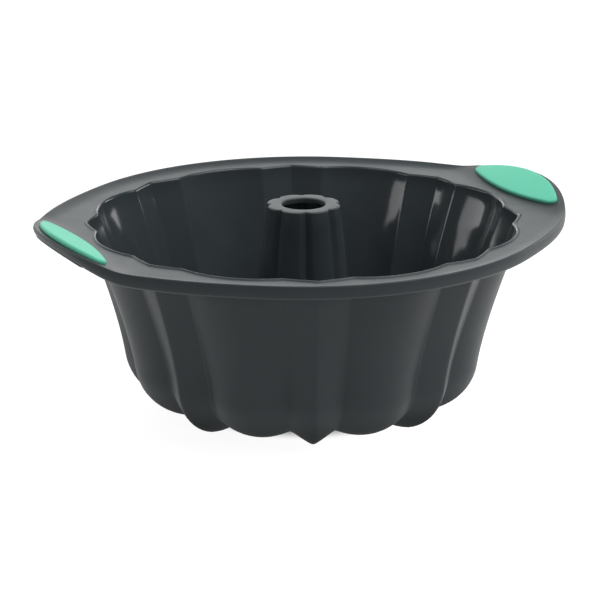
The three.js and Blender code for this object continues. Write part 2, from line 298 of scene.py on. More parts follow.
class Graph:
    """Node tree of one material."""

    def __init__(self, name: str) -> None:
        """Starts an empty material with that name.

        Args:
            name: The material's name.
        """
        self.material = bpy.data.materials.new(name)
        self.material.use_nodes = True
        self.tree = self.material.node_tree
        self.tree.nodes.clear()

    def node(self, kind: str, settings: dict[str, object] | None = None, **inputs: object) -> bpy.types.Node:
        """Adds one node.

        Args:
            kind: The node's type.
            settings: Properties that are set before its sockets.
            **inputs: A value, or a Shade to link, for each socket by its name with _ for spaces, or by
                i and its place.

        Returns:
            The new node.
        """
        made = self.tree.nodes.new(kind)
        for name, value in (settings or {}).items():
            setattr(made, name, value)
        for name, value in inputs.items():
            key = int(name[1:]) if name[0] == "i" and name[1:].isdigit() else name.replace("_", " ")
            socket = made.inputs[key]
            if isinstance(value, Shade):
                self.tree.links.new(value.socket, socket)
            else:
                socket.default_value = value
        return made

    def output(self, node: bpy.types.Node, name: str | int = 0) -> "Shade":
        """One output of a node as a shader value."""
        return Shade(self, node.outputs[name])

    def object_place(self) -> "Shade":
        """The surface point in the object's own coordinates."""
        return self.output(self.node("ShaderNodeTexCoord"), "Object")

    def attribute(self, name: str) -> "Shade":
        """A number stored on the mesh."""
        settings = {"attribute_type": "GEOMETRY", "attribute_name": name}
        return self.output(self.node("ShaderNodeAttribute", settings), "Fac")

    def noise(self, place: "Shade", pattern: Pattern) -> "Shade":
        """Cloudy values about 0.5 over the surface.

        Args:
            place: The surface point.
            pattern: What the clouds are like.

        Returns:
            The values.
        """
        sockets = {"Scale": pattern.scale, "Detail": pattern.detail, "Roughness": pattern.roughness}
        settings = {}
        if pattern.seed is not None:
            settings["noise_dimensions"] = "4D"
            sockets["W"] = pattern.seed
        return self.output(self.node("ShaderNodeTexNoise", settings, Vector=place, **sockets), "Fac")

    def ramp(self, value: "Shade", low: float, high: float) -> "Shade":
        """A share that rises smoothly from 0 to 1 between two values."""
        sockets = {"Value": value, "From_Min": low, "From_Max": high}
        return self.output(self.node("ShaderNodeMapRange", {"interpolation_type": "SMOOTHSTEP"}, **sockets))

    def distance(self, place: "Shade", centre: Vector) -> "Shade":
        """Distance of the surface from a point."""
        apart = self.node("ShaderNodeVectorMath", {"operation": "DISTANCE"}, i0=place, i1=centre)
        return self.output(apart, "Value")

    def height(self, place: "Shade") -> "Shade":
        """Height of the surface."""
        return self.output(self.node("ShaderNodeSeparateXYZ", None, Vector=place), "Z")

    def colour_mix(self, share: "Shade", low: object, high: object) -> "Shade":
        """A colour between two, by a share."""
        made = self.node("ShaderNodeMix", {"data_type": "RGBA"}, i0=share, i6=low, i7=high)
        return self.output(made, 2)

    def bump(self, height: "Shade", depth: float, strength: object, **under: "Shade") -> "Shade":
        """A normal bent by a height.

        Args:
            height: The height, from 0 to 1.
            depth: What 1 stands for, in metres.
            strength: Share of the bend that shows, a number or a Shade.
            **under: Normal, where the bend lies on top of another one.

        Returns:
            The bent normal.
        """
        return self.output(
            self.node("ShaderNodeBump", None, Height=height, Distance=depth, Strength=strength, **under))

    def close(self, **sockets: object) -> bpy.types.Material:
        """Ends the tree with a surface shader.

        Args:
            **sockets: Values or links of the shader's sockets, with _ for spaces.

        Returns:
            The finished material.
        """
        shader = self.node("ShaderNodeBsdfPrincipled", None, **sockets)
        self.node("ShaderNodeOutputMaterial", None, Surface=self.output(shader))
        return self.material


@dataclass
class Shade:
    """A shader value, on which arithmetic adds Math nodes."""

    graph: Graph
    socket: bpy.types.NodeSocket

    def _math(self, operation: str, first: object, second: object) -> "Shade":
        """One Math node."""
        made = self.graph.node("ShaderNodeMath", {"operation": operation}, i0=first, i1=second)
        return self.graph.output(made)

    def __add__(self, other: object) -> "Shade":
        """Sum."""
        return self._math("ADD", self, other)

    def __radd__(self, other: object) -> "Shade":
        """Sum with a number first."""
        return self._math("ADD", other, self)

    def __sub__(self, other: object) -> "Shade":
        """Difference."""
        return self._math("SUBTRACT", self, other)

    def __rsub__(self, other: object) -> "Shade":
        """Difference from a number."""
        return self._math("SUBTRACT", other, self)

    def __mul__(self, other: object) -> "Shade":
        """Product."""
        return self._math("MULTIPLY", self, other)

    def __rmul__(self, other: object) -> "Shade":
        """Product with a number first."""
        return self._math("MULTIPLY", other, self)


# Finishes


@dataclass(frozen=True)
class Silicone:
    """Moulded silicone: satin with a fine grain, glossy where the mould was polished, duller at the foot,
    and darkened there by painted shade.
    """

    name: str
    dark: Colour
    light: Colour
    satin_roughness: float
    polished_roughness: float
    clouds: Pattern = Pattern(26.0, 4.0)
    cloud_dullness: float = 0.05
    smears: Pattern = Pattern(70.0, 3.0, 0.6)
    smear_dullness: float = 0.10
    grain: Pattern = Pattern(2200.0, 2.0)
    grain_depth: float = 0.03 * MM
    grain_strength: float = 0.35
    grain_polished_off: float = 0.8
    # painted shade: the colour darkens to this towards the foot, standing in for the table's shadow
    foot: Colour = (0.009, 0.012, 0.013, 1.0)
    foot_shade_and_dullness_reach: Pair = (3.0 * MM, 26.0 * MM)
    foot_dullness: float = 0.45
    waves: Pattern = Pattern(45.0, 1.0, seed=7.0)
    wave_depth: float = 0.8 * MM
    refraction: float = 1.27

    def material(self) -> bpy.types.Material:
        """The finish as a material.

        Returns:
            The finished material.
        """
        graph = Graph(self.name)
        place = graph.object_place()
        polish = graph.attribute("polish")
        clouds, smears = graph.noise(place, self.clouds), graph.noise(place, self.smears)
        grain = graph.noise(place, self.grain)
        wavy = graph.bump(graph.noise(place, self.waves), self.wave_depth, polish)
        plain = self.satin_roughness - (self.satin_roughness - self.polished_roughness) * polish
        # clear is 0 at the foot and 1 above it; it fades out both the painted shade in the colour and the
        # added roughness
        clear = graph.ramp(graph.height(place), *self.foot_shade_and_dullness_reach)
        dulled = self.foot_dullness * (1.0 - clear) * (1.0 - polish)
        uneven = (smears - 0.5) * self.smear_dullness + (clouds - 0.5) * self.cloud_dullness
        grain_strength = self.grain_strength * (1.0 - self.grain_polished_off * polish)
        return graph.close(
            Base_Color=graph.colour_mix(clear, self.foot, graph.colour_mix(clouds, self.dark, self.light)),
            Roughness=plain + dulled + uneven,
            IOR=self.refraction,
            Normal=graph.bump(grain, self.grain_depth, grain_strength, Normal=wavy),
        )


GREY = Silicone(
    name="grey_silicone",
    dark=(0.0230, 0.0287, 0.0315, 1.0),
    light=(0.0287, 0.0346, 0.0376, 1.0),
    satin_roughness=0.46,
    polished_roughness=0.13,
)
GREEN = Silicone(
    name="green_silicone",
    dark=(0.068, 0.350, 0.236, 1.0),
    light=(0.083, 0.387, 0.263, 1.0),
    satin_roughness=0.52,
    polished_roughness=0.52,
    refraction=1.24,
)


@dataclass(frozen=True)
class DrawnSteel:
    """Steel wire with fine marks left by drawing."""

    name: str = "drawn_steel"
    dark: Colour = (0.33, 0.33, 0.34, 1.0)
    light: Colour = (0.52, 0.52, 0.53, 1.0)
    marks: Pattern = Pattern(1500.0, 4.0, 0.7)
    mark_dullness: float = 0.3
    roughness: float = 0.28

    def material(self) -> bpy.types.Material:
        """The finish as a material.

        Returns:
            The finished material.
        """
        graph = Graph(self.name)
        marks = graph.noise(graph.object_place(), self.marks)
        return graph.close(
            Base_Color=graph.colour_mix(marks, self.dark, self.light),
            Metallic=1.0,
            Roughness=self.roughness + (marks - 0.5) * self.mark_dullness,
        )


@dataclass(frozen=True)
class Paper:
    """White paper that glows to stay white, with a painted pool of light right of the pan, painted shadow
    under it with a painted glow under the tube's mouth, and a dimmer glow far off.

    Each reach gives the distances between which one glow passes into the next.
    """

    name: str = "studio_paper"
    dark: Colour = (0.095, 0.095, 0.095, 1.0)
    light: Colour = (0.105, 0.105, 0.105, 1.0)
    clouds: Pattern = Pattern(3.0, 3.0)
    roughness: float = 0.9
    glow: float = 0.935
    near_glow: Colour = (1.0, 1.0, 1.0, 1.0)
    near_centre: Vector = Vector((0.34, 0.52, 0.0))
    near_reach: Pair = (1.0, 1.9)
    far_glow: Colour = (0.25, 0.25, 0.25, 1.0)
    # painted pool of light: the paper glows brighter right of the pan
    side_glow: Colour = (1.55, 1.55, 1.55, 1.0)
    side_centre: Vector = Vector((0.33, -0.10, 0.0))
    side_reach: Pair = (0.08, 0.42)
    # painted shadow: the paper glows only faintly under the pan, in place of its contact shadow
    under_shadow_glow: Colour = (0.12, 0.12, 0.12, 1.0)
    under_shadow_reach: Pair = (50.0 * MM, 70.0 * MM)
    # painted light: a bright bluish glow under the tube's mouth lights the hole from below
    mouth_glow: Colour = (2.6, 3.3, 3.3, 1.0)
    mouth_reach: Pair = (24.0 * MM, 34.0 * MM)

    def material(self) -> bpy.types.Material:
        """The finish as a material.

        Returns:
            The finished material.
        """
        graph = Graph(self.name)
        place = graph.object_place()
        clouds = graph.noise(place, self.clouds)
        from_axis = graph.distance(place, Vector())
        beyond_side = graph.ramp(graph.distance(place, self.side_centre), *self.side_reach)
        near = graph.colour_mix(beyond_side, self.side_glow, self.near_glow)
        far_off = graph.ramp(graph.distance(place, self.near_centre), *self.near_reach)
        around = graph.colour_mix(far_off, near, self.far_glow)
        beyond_mouth = graph.ramp(from_axis, *self.mouth_reach)
        # under the pan: the painted light at the tube's mouth, inside the painted shadow ring
        under = graph.colour_mix(beyond_mouth, self.mouth_glow, self.under_shadow_glow)
        return graph.close(
            Base_Color=graph.colour_mix(clouds, self.dark, self.light),
            Roughness=self.roughness,
            Emission_Color=graph.colour_mix(graph.ramp(from_axis, *self.under_shadow_reach), under, around),
            Emission_Strength=self.glow,
        )


# The moulding


@dataclass(frozen=True)
class Flutes:
    """Sharp ridges with round lobes between them, a lobe facing each handle."""

    count: int = 8
    ridge_half: float = 9.0
    depths: dict[str, Pair] = field(default_factory=lambda: {
        "lip": (4.7 * MM, 4.5 * MM),
        "corner": (7.2 * MM, 6.7 * MM),
        "base": (7.2 * MM, 4.2 * MM),
        "tube": (1.8 * MM, -0.4 * MM),
    })
    valley_fill: float = 0.5
    half_columns: int = 10
    gather: float = 0.63

    @property
    def pitch(self) -> float:
        """Angle from one ridge to the next."""
        return 360.0 / self.count

    @property
    def lobe_half(self) -> float:
        """Angle from a valley to the middle of the lobe beside it."""
        return self.pitch / 2.0 - self.ridge_half

    @property
    def columns(self) -> int:
        """Columns of vertices round the pan."""
        return 4 * self.half_columns * self.count

    def column_azimuth(self, column: int) -> float:
        """Azimuth of a column, with the columns gathered towards crests and valleys.

        Args:
            column: The column's number, from 0 in the middle of the right handle's lobe.

        Returns:
            Its azimuth in degrees.
        """
        per_flute = 4 * self.half_columns
        flute, place = divmod(column, per_flute)
        step = place - per_flute // 2
        share = abs(step) / self.half_columns
        if share <= 1.0:
            away = share - self.gather * math.sin(2.0 * math.pi * share) / (2.0 * math.pi)
            away *= self.ridge_half
        else:
            share -= 1.0
            away = share - self.gather * math.sin(math.pi * share) / math.pi
            away = self.ridge_half + self.lobe_half * away
        return (flute + 0.5) * self.pitch + math.copysign(away, step)

    def rise(self, azimuth: float, depths: Pair, crest_round: float, valley_round: float) -> float:
        """How far the flutes stand out from the valleys at an azimuth.

        Args:
            azimuth: Where round the pan.
            depths: Depth of the ridges and of the lobes.
            crest_round: Rounding of the crests, in degrees.
            valley_round: Rounding of the valleys, as a share of the ridges' depth.

        Returns:
            The height over the valleys.
        """
        ridge, lobe = depths
        from_crest = abs(azimuth % self.pitch - self.pitch / 2.0)
        fall = math.hypot(from_crest, crest_round) - crest_round
        fall /= math.hypot(self.ridge_half, crest_round) - crest_round
        across = (self.pitch / 2.0 - from_crest) / self.lobe_half
        flank, swell = ridge * (1.0 - fall), lobe * (1.0 - across * across)
        softness = ridge * valley_round
        surplus = (1.0 - self.valley_fill) * softness ** 2 / (2.0 * math.hypot(flank - swell, softness))
        return soft_max(flank, swell, softness) - surplus


@dataclass(frozen=True)
class Shell:
    """Section of the bowl and the tube along a valley, and its two sides."""

    PART_ENDS: ClassVar[dict[str, tuple[str, str]]] = {
        "tube": ("tube", "tube"),
        "root": ("tube", "base"),
        "corner": ("base", "corner"),
        "wall": ("corner", "lip"),
    }

    flutes: Flutes = Flutes()
    thickness: float = 2.2 * MM
    wall_top: Pair = (113.7 * MM, 102.6 * MM)
    wall_draft: float = 7.9
    wall_bend: float = 18.0 * MM
    base_bottom: Pair = (65.7 * MM, 8.2 * MM)
    corner_radius: float = 24.7 * MM
    root_radius: float = 37.7 * MM
    tube_draft: float = 6.7
    tube_top: float = 112.4 * MM
    crown_round: float = 0.8 * MM
    inner_rounding: dict[str, Pair] = field(default_factory=lambda: {
        "lip": (0.20 * MM, 0.05),
        "corner": (0.28 * MM, 0.08),
        "base": (0.28 * MM, 0.12),
        "tube": (0.15 * MM, 0.10),
    })
    outer_rounding: dict[str, Pair] = field(default_factory=lambda: {
        "lip": (0.5 * MM, 0.06),
        "corner": (0.9 * MM, 0.12),
        "base": (1.4 * MM, 0.30),
        "tube": (0.4 * MM, 0.20),
    })

    def base_point(self, radius: float, angle: float) -> tuple[Vector, Vector]:
        """A point on an arc that rises from the bottom of the base, and the direction along it.

        Args:
            radius: The arc's radius.
            angle: Where on the arc, in degrees from outwards.

        Returns:
            The point, as radius and height, and the direction.
        """
        turned = math.radians(angle)
        centre = Vector((self.base_bottom[0], self.base_bottom[1] + radius))
        return (centre + radius * Vector((math.cos(turned), math.sin(turned))),
                Vector((-math.sin(turned), math.cos(turned))))

    def tube(self, share: float) -> tuple[Vector, Vector]:
        """Point and direction down the tube.

        Args:
            share: Share of the way down.

        Returns:
            The point, as radius and height, and the direction.
        """
        foot, along = self.root(0.0)
        rise = self.tube_top - self.crown_round - foot.y
        top = foot + Vector((-rise * math.tan(math.radians(self.tube_draft)), rise))
        return top.lerp(foot, share), along

    def root(self, share: float) -> tuple[Vector, Vector]:
        """Point and direction along the round foot of the tube."""
        return self.base_point(self.root_radius, mix(self.tube_draft - 180.0, -90.0, share))

    def corner(self, share: float) -> tuple[Vector, Vector]:
        """Point and direction along the round corner between base and wall."""
        return self.base_point(self.corner_radius, mix(-90.0, -self.wall_draft, share))

    def wall(self, share: float) -> tuple[Vector, Vector]:
        """Point and direction up the flaring wall.

        Args:
            share: Share of the way up.

        Returns:
            The point, as radius and height, and the direction.
        """
        foot, _ = self.corner(1.0)
        bend = foot + self.wall_bend * Vector((math.tan(math.radians(self.wall_draft)), 1.0))
        top = Vector(self.wall_top)
        low, high = foot.lerp(bend, share), bend.lerp(top, share)
        return low.lerp(high, share), (high - low).normalized()

    def between(self, measures: dict[str, Pair], part: str, share: float) -> Pair:
        """Two measures of the flutes at a share of one part of the section.

        Args:
            measures: The two measures at each station.
            part: The part of the section.
            share: Share of the way along the part.

        Returns:
            The measures there.
        """
        start, end = (measures[name] for name in self.PART_ENDS[part])
        blend = smoothstep(share)
        return mix(start[0], end[0], blend), mix(start[1], end[1], blend)

    def inner(self, azimuth: float, part: str, share: float) -> Pair:
        """Radius and height on the cavity's side."""
        return self._skin(azimuth, part, share, 0.0, self.inner_rounding)

    def outer(self, azimuth: float, part: str, share: float) -> Pair:
        """Radius and height on the outer side, which the table cuts flat."""
        radius, height = self._skin(azimuth, part, share, self.thickness, self.outer_rounding)
        return radius, max(height, 0.0)

    def _skin(
        self, azimuth: float, part: str, share: float, offset: float, rounding: dict[str, Pair],
    ) -> Pair:
        """Radius and height of a skin at an offset from the cavity.

        Args:
            azimuth: Where round the pan.
            part: The part of the section.
            share: Share of the way along the part.
            offset: Distance out from the cavity.
            rounding: Rounding of crests and valleys at each station.

        Returns:
            Radius and height.
        """
        point, along = getattr(self, part)(share)
        depths = self.between(self.flutes.depths, part, share)
        crest, valley = self.between(rounding, part, share)
        out = offset + self.flutes.rise(azimuth, depths, math.degrees(crest / point.x), valley)
        return point.x + along.y * out, point.y - along.x * out


@dataclass(frozen=True)
class Rim:
    """Flange round the cavity, the curb on its edge and the two wings tilted up for the handles."""

    LIP_TURNS: ClassVar[Sequence[float]] = (15.0, 30.0, 45.0, 60.0, 75.0, 90.0)
    LIP_SHARES: ClassVar[Sequence[float]] = (0.2, 0.38, 0.55, 0.72, 0.9, 1.1)
    LIP_FALL: ClassVar[Pair] = (0.15, 0.95)
    EDGE_TURNS: ClassVar[Sequence[float]] = (60.0, 40.0, 20.0, 0.0)
    FLAT_STEPS: ClassVar[int] = 5
    CURB_STEPS: ClassVar[int] = 8
    SIDE_STEPS: ClassVar[int] = 6
    BEAD_STEPS: ClassVar[int] = 8
    PLATE_STEPS: ClassVar[int] = 4
    FILLET_STEPS: ClassVar[int] = 4

    lip_height: float = 104.4 * MM
    lip_round: Pair = (1.5 * MM, 1.8 * MM)
    lip_foot: float = 2.6 * MM
    flat_start: float = 3.12 * MM
    flange_height: float = 103.7 * MM
    flange_thickness: float = 3.0 * MM
    flange_fillet: float = 3.0 * MM
    radius: float = 134.5 * MM
    reach: float = 150.7 * MM
    spread: float = 56.0
    swell_start: float = 0.3
    wing_tilt: float = 21.0
    fold_x: float = 126.6 * MM
    fold_softness: float = 3.0 * MM
    edge_softness: float = 0.8 * MM
    wing_roll: float = 0.5 * MM
    wing_tip: float = 3.4 * MM
    under_tilt: float = 34.0
    curb_height: float = 2.2 * MM
    curb_width: Pair = (9.5 * MM, 4.5 * MM)
    curb_power: float = 1.9
    skirt_height: float = 7.7 * MM
    skirt_barrel: float = 0.25 * MM
    bead_width: Pair = (8.0 * MM, 14.0 * MM)
    edge_round: float = 0.9 * MM
    lower_round: float = 2.4 * MM
    corner_share: float = 0.3

    def handle_share(self, azimuth: float) -> float:
        """Share of a handle in the rim: 1 on the handles' axis, 0 away from it."""
        away = abs((azimuth + 90.0) % 180.0 - 90.0)
        return (1.0 + math.cos(math.pi * away / self.spread)) / 2.0 if away < self.spread else 0.0

    def outer_radius(self, azimuth: float) -> float:
        """Radius of the rim's outer side."""
        return mix(self.radius, self.reach, self.handle_share(azimuth))

    def outer_x(self, azimuth: float) -> float:
        """Distance along X of the rim's outer side."""
        return abs(polar(azimuth, self.outer_radius(azimuth), 0.0).x)

    def towards_handle(self, measure: Pair, azimuth: float) -> float:
        """A measure of the rim that changes into another towards the handles."""
        return mix(*measure, smoothstep(self.handle_share(azimuth), self.swell_start))

    def wing_lift(self, x: float) -> float:
        """How far the wings lift the flange at a distance along X."""
        beyond = soft_max(abs(x) - self.fold_x, 0.0, self.fold_softness)
        return math.tan(math.radians(self.wing_tilt)) * beyond

    def edge_height(self, x: float) -> float:
        """Height of the rim's edge: level round the pan, then up with the wings."""
        wing = self.wing_lift(x) - self.wing_roll
        return self.flange_height + soft_max(self.curb_height, wing, self.edge_softness)

    def top(self, azimuth: float, radius: float, above: float = 0.0) -> Pair:
        """Radius and height at a distance above the flange's top."""
        return radius, self.flange_height + above + self.wing_lift(polar(azimuth, radius, 0.0).x)

    def floor(self, azimuth: float, radius: float, above: float = 0.0) -> Pair:
        """Radius and height at a distance above the underside of the thick edge.

        Args:
            azimuth: Where round the pan.
            radius: Distance from the axis.
            above: Distance above the underside.

        Returns:
            Radius and height.
        """
        cut = self.reach - abs(polar(azimuth, radius, 0.0).x)
        wing = self.edge_height(self.reach) - self.wing_tip - cut * math.tan(math.radians(self.under_tilt))
        level = self.edge_height(self.outer_x(azimuth)) - self.skirt_height
        return radius, above + soft_max(level, wing, self.edge_softness)

    def lip(self, azimuth: float, edge: float) -> list[Pair]:
        """The bead round the cavity, from the wall's top to the flange.

        Args:
            azimuth: Where round the pan.
            edge: Radius of the wall's top.

        Returns:
            Radii and heights in order.
        """
        across, drop = self.lip_round
        bead = self.lip_height - self.flange_height
        inner = []
        for turn in self.LIP_TURNS:
            turned = math.radians(turn)
            inner.append(self.top(azimuth, edge + across * (1.0 - math.cos(turned)),
                                  bead - drop * (1.0 - math.sin(turned))))
        outer = []
        for share in self.LIP_SHARES:
            radius = edge + mix(across, self.lip_foot, share)
            outer.append(self.top(azimuth, radius, bead * (1.0 - smoothstep(share, *self.LIP_FALL))))
        return inner + outer

    def flange(self, azimuth: float, edge: float) -> list[Pair]:
        """The flat of the flange and the curb that rises at its edge.

        Args:
            azimuth: Where round the pan.
            edge: Radius of the wall's top.

        Returns:
            Radii and heights in order.
        """
        outer = self.outer_radius(azimuth)
        curb = outer - self.towards_handle(self.curb_width, azimuth)
        rise = self.edge_height(self.outer_x(azimuth)) - self.top(azimuth, outer)[1]
        start = edge + self.flat_start
        flat = [self.top(azimuth, mix(start, curb, share)) for share in shares(self.FLAT_STEPS)]
        slope = []
        for share in shares(self.CURB_STEPS, True):
            radius, height = self.top(azimuth, mix(curb, outer - self.edge_round, share))
            slope.append((radius, height + rise * share ** self.curb_power))
        return flat + slope

    def side(self, azimuth: float) -> list[Pair]:
        """The rim's outer side, slightly barrelled between its two rounded edges.

        Args:
            azimuth: Where round the pan.

        Returns:
            Radii and heights in order.
        """
        outer = self.outer_radius(azimuth)
        edge = outer - self.skirt_barrel
        top = self.edge_height(self.outer_x(azimuth))
        turns = [math.radians(turn) for turn in self.EDGE_TURNS]
        insets = [(1.0 - math.cos(turn), 1.0 - math.sin(turn)) for turn in turns]
        small, large = self.edge_round, self.lower_round
        upper = [(edge - small * across, top - small * down) for across, down in insets]
        lower = [self.floor(azimuth, edge - large * across, large * up) for across, up in reversed(insets)]
        low, high = lower[0][1], upper[-1][1]
        middle = []
        for share in shares(self.SIDE_STEPS)[1:]:
            barrel = self.skirt_barrel * (1.0 - 2.0 * share) ** 2
            middle.append((outer - barrel, mix(high, low, share)))
        return upper + middle + lower

    def underside(self, azimuth: float, wall: Pair) -> list[Pair]:
        """The thick edge's underside, the flange's underside and the fillet to the wall.

        Args:
            azimuth: Where round the pan.
            wall: Where the fillet meets the wall, as radius and height.

        Returns:
            Radii and heights in order.
        """
        outer = self.outer_radius(azimuth)
        inner = outer - self.towards_handle(self.bead_width, azimuth)
        start, end = outer - self.skirt_barrel - self.lower_round, inner + self.edge_round
        bead = [self.floor(azimuth, mix(start, end, share)) for share in shares(self.BEAD_STEPS, True)]
        under = -self.flange_thickness
        join = self.top(azimuth, wall[0] + self.flange_fillet, under)
        corner = self.top(azimuth, wall[0] + self.corner_share * self.flange_fillet, under)
        eased = self.corner_share * self.edge_round
        bead_side = [(inner + eased, bead[-1][1] + eased), self.top(azimuth, inner, under)]
        plate_shares = shares(self.PLATE_STEPS, True)[1:]
        plate = [self.top(azimuth, mix(inner, join[0], share), under) for share in plate_shares]
        fillet = []
        for share in shares(self.FILLET_STEPS)[1:]:
            weights = ((1.0 - share) ** 2, 2.0 * share * (1.0 - share), share ** 2)
            weighted = [(w * p[0], w * p[1]) for w, p in zip(weights, (join, corner, wall), strict=True)]
            fillet.append((sum(x for x, _ in weighted), sum(z for _, z in weighted)))
        return bead + bead_side + plate + fillet


@dataclass(frozen=True)
class Crown:
    """Flat top of the tube, with a rounded edge and a hole through it."""

    ROUND_STEPS: ClassVar[int] = 4
    FLAT_STEPS: ClassVar[int] = 3

    hole_radius: float = 12.0 * MM
    thickness: float = 3.0 * MM
    ease: float = 0.4 * MM
    throat_middle: float = 0.6

    def section(self, shell: Shell, inside: float, outside: float) -> list[Pair]:
        """From the tube's inside, up the hole and over to the tube's outer side.

        Args:
            shell: The tube that carries the crown.
            inside: Radius of the tube's inside below the crown.
            outside: Radius of the tube's outer side at the crown's edge.

        Returns:
            Radii and heights in order.
        """
        top, small, hole = shell.tube_top, shell.crown_round, self.hole_radius
        under, flat_shares = top - self.thickness, shares(self.FLAT_STEPS, True)
        ceiling = [(mix(inside - self.ease, hole + small, share), under) for share in flat_shares]
        throat = [(hole, under + self.ease), (hole, mix(under, top - small, self.throat_middle))]
        turns = [math.pi / 2.0 * share for share in shares(self.ROUND_STEPS, True)]
        insets = [(small * (1.0 - math.cos(turn)), small * (1.0 - math.sin(turn))) for turn in turns]
        edge = [(hole + across, top - down) for across, down in insets]
        rim = [(outside - across, top - down) for across, down in reversed(insets[1:])]
        flat = [(mix(edge[-1][0], rim[0][0], share), top) for share in flat_shares[1:-1]]
        return ceiling + throat + edge + flat + rim


@dataclass
class Moulding:
    """The grey silicone body, turned as one section and then shaped by azimuth."""

    SEAM_MERGE: ClassVar[float] = 0.005 * MM
    POLISHED_LIP: ClassVar[int] = 4

    shell: Shell = Shell()
    rim: Rim = Rim()
    crown: Crown = Crown()
    steps: dict[str, int] = field(default_factory=lambda: {"tube": 10, "root": 14, "corner": 14, "wall": 18})
    wall_join: float = 0.93
    crown_join: float = 0.05
    pin_hole_radius: float = 0.8 * MM
    pin_hole_sides: int = 24
    wire_inset: Pair = (3.2 * MM, 9.0 * MM)
    seat: float = 0.4 * MM

    def section(self, azimuth: float) -> list[tuple[Pair, Skin]]:
        """The whole closed section at an azimuth.

        Args:
            azimuth: Where round the pan.

        Returns:
            Radius and height of each station, with the skin that the mould left there.
        """
        shell, rim = self.shell, self.rim
        inner = []
        for part, count in self.steps.items():
            inner += [shell.inner(azimuth, part, share) for share in shares(count)]
        inner.append(shell.inner(azimuth, "wall", 1.0))
        edge = inner[-1][0]
        lip = rim.lip(azimuth, edge)
        under = shell.outer(azimuth, "wall", self.wall_join)
        outside = rim.flange(azimuth, edge) + rim.side(azimuth) + rim.underside(azimuth, under)
        for part, count in reversed(self.steps.items()):
            start = self.wall_join if part == "wall" else 1.0
            end = self.crown_join if part == "tube" else 0.0
            outside += [shell.outer(azimuth, part, mix(start, end, share)) for share in shares(count)]
        outside.append(shell.outer(azimuth, "tube", self.crown_join))
        crown = self.crown.section(shell, outside[-1][0], inner[0][0])
        polished, satin = inner + lip[:self.POLISHED_LIP], lip[self.POLISHED_LIP:] + outside + crown
        return [(pair, Skin.POLISHED) for pair in polished] + [(pair, Skin.SATIN) for pair in satin]

    def build(self) -> Workpiece:
        """Spins the section round the tube's axis and moves every column to its own shape.

        Returns:
            The finished mesh.
        """
        flutes = self.shell.flutes
        azimuths = [flutes.column_azimuth(column) for column in range(flutes.columns)]
        sections = [self.section(azimuth) for azimuth in azimuths]
        piece = Workpiece.circle("moulding", [polar(0.0, *pair) for pair, _ in sections[0]], False)
        station = piece.mesh.attributes.new("station", "INT", "POINT")
        station.data.foreach_set("value", list(range(len(sections[0]))))
        with piece.editing():
            bpy.ops.mesh.spin(
                steps=flutes.columns, angle=2.0 * math.pi, center=(0.0, 0.0, 0.0), axis=(0.0, 0.0, 1.0))
            bpy.ops.mesh.select_all(action="SELECT")
            bpy.ops.mesh.remove_doubles(threshold=self.SEAM_MERGE)
        stations = [item.value for item in piece.mesh.attributes["station"].data]
        points, polish = [], []
        for vertex, row in zip(piece.mesh.vertices, stations, strict=True):
            turned = math.degrees(math.atan2(vertex.co.y, vertex.co.x))
            column = round(turned * flutes.columns / 360.0) % flutes.columns
            pair, skin = sections[column][row]
            points.append(polar(azimuths[column], *pair))
            polish.append(skin.value)
        piece.place(points)
        piece.mesh.attributes.remove(piece.mesh.attributes["station"])
        piece.mesh.attributes.new("polish", "FLOAT", "POINT").data.foreach_set("value", polish)
        piece.tidy()
        return piece

    def wire_place(self, azimuth: float) -> Pair:
        """Radius and height of the steel ring's axis.

        Args:
            azimuth: Where round the pan.

        Returns:
            Radius and height.
        """
        rim = self.rim
        radius = rim.outer_radius(azimuth) - rim.towards_handle(self.wire_inset, azimuth)
        return radius, mix(rim.floor(azimuth, radius)[1], rim.top(azimuth, radius, -self.seat)[1], 0.5)

    def drill_pin_holes(self, piece: Workpiece) -> None:
        """Cuts the holes under the rim where pins of the mould held the steel ring.

        Args:
            piece: The moulding's mesh.
        """
        deselect_all()
        drills = []
        for flute in range(self.shell.flutes.count):
            azimuth = (flute + 0.5) * self.shell.flutes.pitch
            radius, height = self.wire_place(azimuth)
            place = polar(azimuth, radius, height - self.rim.skirt_height / 2.0)
            bpy.ops.mesh.primitive_cylinder_add(
                vertices=self.pin_hole_sides, radius=self.pin_hole_radius, depth=self.rim.skirt_height,
                location=place)
            drills.append(bpy.context.object)
        for drill in drills:
            drill.select_set(True)
        bpy.ops.object.join()
        cutter = bpy.context.object
        piece.apply("BOOLEAN", operation="DIFFERENCE", solver="EXACT", object=cutter)
        bpy.data.objects.remove(cutter)

    def make(self, material: bpy.types.Material) -> bpy.types.Object:
        """Builds and dresses the moulding.

        Args:
            material: The grey silicone.

        Returns:
            The finished object.
        """
        piece = self.build()
        self.drill_pin_holes(piece)
        made = piece.finish(material, GREY_SLOT)
        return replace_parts(made, "pan_body")


